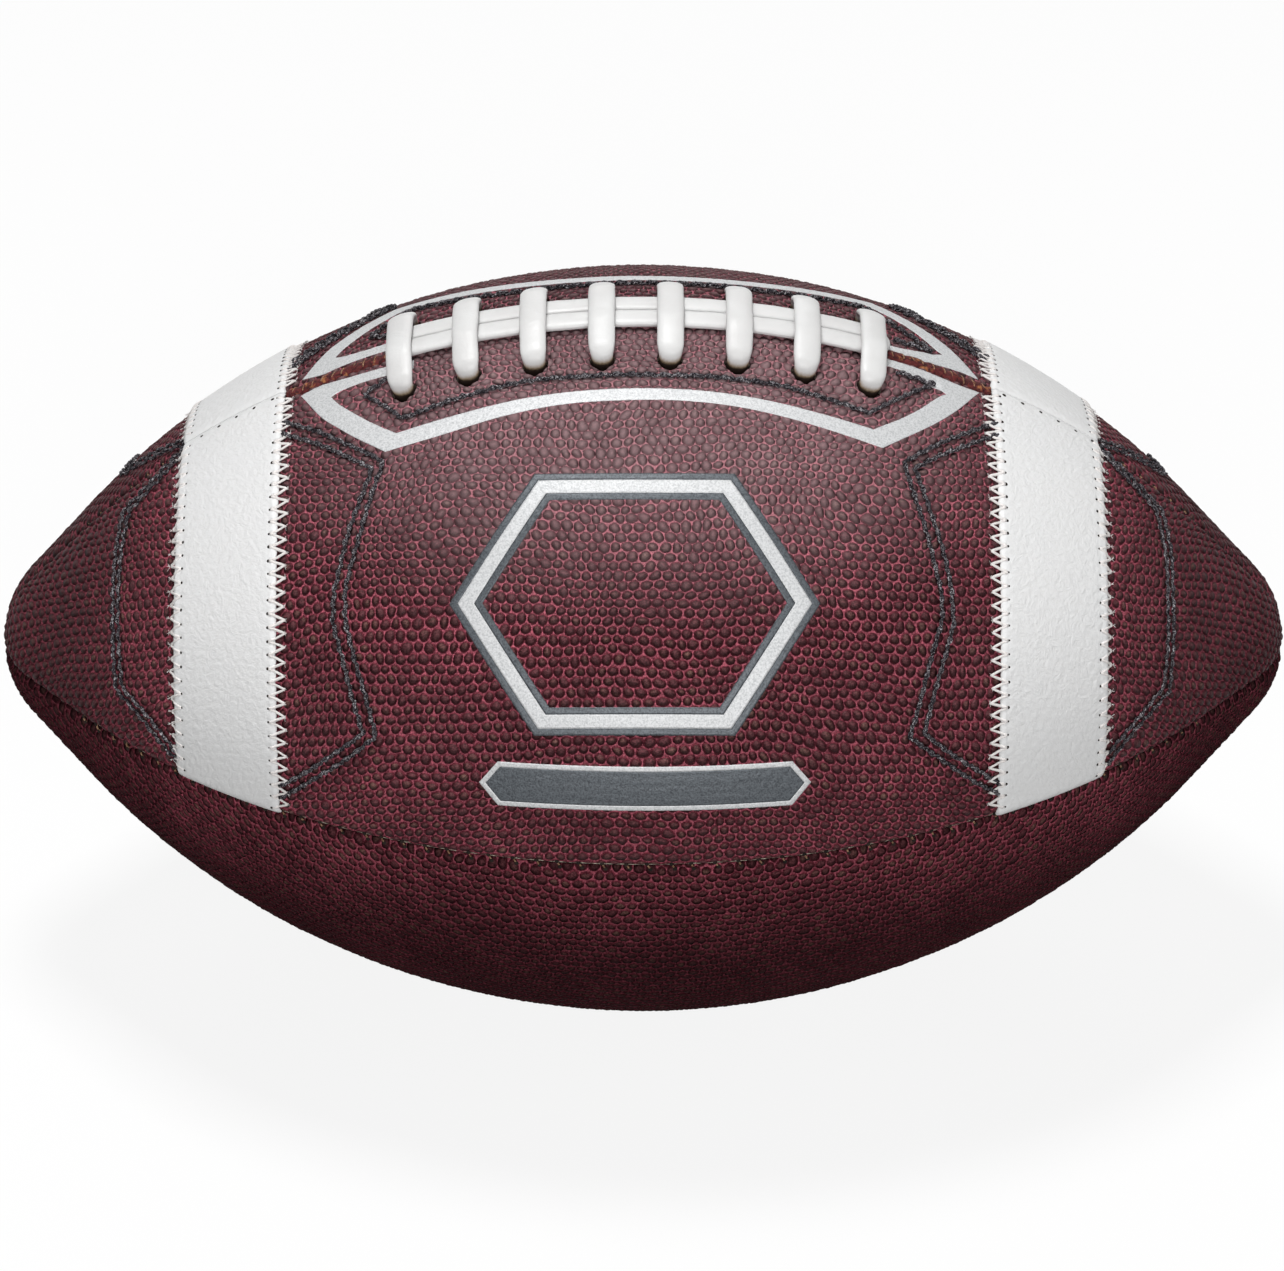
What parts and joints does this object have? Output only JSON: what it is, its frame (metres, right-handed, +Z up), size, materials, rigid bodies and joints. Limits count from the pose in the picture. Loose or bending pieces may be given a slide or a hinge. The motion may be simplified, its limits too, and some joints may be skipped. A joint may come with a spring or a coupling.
{
  "type": "american football",
  "caption": "Pointed oval leather ball of sewn panels with white end stripes, raised white lacing on top, lining, bladder and needle valve.",
  "frame": {"origin": "point on the resting plane under the middle of the ball", "axes": "+X along the long axis to the right-hand nose, +Z up through the lacing, -Y towards the front panels"},
  "size_m": [0.2876, 0.168, 0.1727],
  "materials": {
    "leather_maroon": "pebbled tanned cowhide, dark maroon with browner pebble tops",
    "stripe_white": "pebbled white coated leather, semi-matt",
    "lace_white": "smooth flat vinyl lace, soft sheen",
    "lining_cloth": "woven cotton lining",
    "facing_leather": "split leather strip, flesh side out",
    "tongue_cloth": "heavy cotton duck",
    "bladder_rubber": "moulded rubber, matt black",
    "valve_rubber": "moulded rubber, matt black",
    "plug_rubber": "moulded rubber, dark grey",
    "seam_thread": "waxed tan thread"
  },
  "bodies": {
    "root": {"panel_front_top": "leather_maroon", "panel_rear_top": "leather_maroon", "panel_front_bottom": "leather_maroon", "panel_rear_bottom": "leather_maroon", "lining_front_top": "lining_cloth", "lining_rear_top": "lining_cloth", "lining_front_bottom": "lining_cloth", "lining_rear_bottom": "lining_cloth", "stripe_front_left": "stripe_white", "stripe_front_right": "stripe_white", "stripe_rear_left": "stripe_white", "stripe_rear_right": "stripe_white", "lace": "lace_white", "lace_facing_front": "facing_leather", "lace_facing_rear": "facing_leather", "tongue": "tongue_cloth", "bladder": "bladder_rubber", "valve_patch": "bladder_rubber", "valve_housing": "valve_rubber", "valve_plug": "plug_rubber", "seam_thread_top_left": "seam_thread", "seam_thread_top_right": "seam_thread", "seam_thread_front": "seam_thread", "seam_thread_bottom": "seam_thread", "seam_thread_rear": "seam_thread"}
  },
  "joints": []
}
